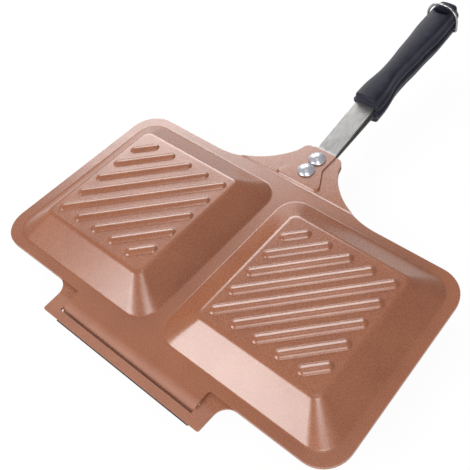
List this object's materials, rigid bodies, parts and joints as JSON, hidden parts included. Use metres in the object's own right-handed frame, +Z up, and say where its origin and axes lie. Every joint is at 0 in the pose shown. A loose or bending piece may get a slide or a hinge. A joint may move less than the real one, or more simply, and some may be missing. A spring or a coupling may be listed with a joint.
{
  "type": "sandwich iron",
  "caption": "Hinged double pan for toasting two sandwiches over a burner, with ribbed cells and a split handle locked by a wire bail.",
  "frame": {"origin": "on the outer face of the lower pan's flange, in the middle of the strip between its two cells", "axes": "+X along the pair of cells, +Y from the hinge to the handle, +Z up, square to the flange"},
  "size_m": [0.29, 0.3952, 0.0561],
  "materials": {
    "copper_coat": "satin copper-coloured non-stick coat with fine speckle on pressed sheet",
    "strap_steel": "brushed along its length",
    "rivet_steel": "polished",
    "grip_plastic": "satin moulded, dark grey",
    "screw_steel": "bright",
    "bail_wire": "bright drawn wire"
  },
  "bodies": {
    "lower_half": {"lower_pan": "copper_coat", "lower_strap": "strap_steel", "lower_rivet_1": "rivet_steel", "lower_rivet_2": "rivet_steel", "lower_grip": "grip_plastic", "lower_grip_screw": "screw_steel"},
    "upper_half": {"upper_pan": "copper_coat", "upper_strap": "strap_steel", "upper_rivet_1": "rivet_steel", "upper_rivet_2": "rivet_steel", "upper_grip": "grip_plastic", "upper_grip_screw": "screw_steel"},
    "bail": {"lock_bail": "bail_wire"}
  },
  "joints": [
    {"name": "pan_hinge", "type": "hinge", "parent": "lower_half", "child": "upper_half", "pos_m": [0, -0.0938, 0.00075], "axis": [1, 0, 0], "range_deg": [0, 100]},
    {"name": "bail_pivot", "type": "hinge", "parent": "lower_half", "child": "bail", "pos_m": [0, 0.28547, 0.01621], "axis": [-1, 0, 0], "range_deg": [0, 120]}
  ]
}
